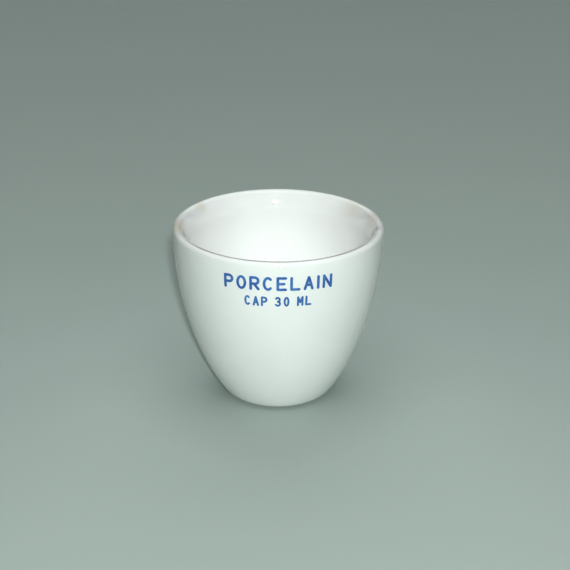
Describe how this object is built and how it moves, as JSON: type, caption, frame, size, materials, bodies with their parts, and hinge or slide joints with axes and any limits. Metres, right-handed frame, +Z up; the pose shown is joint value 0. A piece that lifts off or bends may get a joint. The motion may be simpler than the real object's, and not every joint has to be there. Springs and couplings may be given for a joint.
{
  "type": "porcelain crucible",
  "caption": "High-form laboratory crucible: a glazed white porcelain cup with a round lip, a tapering wall and a flat foot ring.",
  "frame": {"origin": "centre of the flat foot ring, on the surface that the crucible stands on", "axes": "+Z up along the axis of the cup, towards its open mouth; the print faces -Y"},
  "size_m": [0.043, 0.043, 0.037],
  "materials": {
    "glazed_porcelain": "clear glossy glaze, matt on the foot ring",
    "ceramic_ink": "blue underglaze print, satin"
  },
  "bodies": {
    "root": {"crucible_body": "glazed_porcelain", "print_upper_P": "ceramic_ink", "print_upper_O": "ceramic_ink", "print_upper_R": "ceramic_ink", "print_upper_C": "ceramic_ink", "print_upper_E": "ceramic_ink", "print_upper_L": "ceramic_ink", "print_upper_A": "ceramic_ink", "print_upper_I": "ceramic_ink", "print_upper_N": "ceramic_ink", "print_lower_C": "ceramic_ink", "print_lower_A": "ceramic_ink", "print_lower_P": "ceramic_ink", "print_lower_3": "ceramic_ink", "print_lower_0": "ceramic_ink", "print_lower_M": "ceramic_ink", "print_lower_L": "ceramic_ink"}
  },
  "joints": []
}
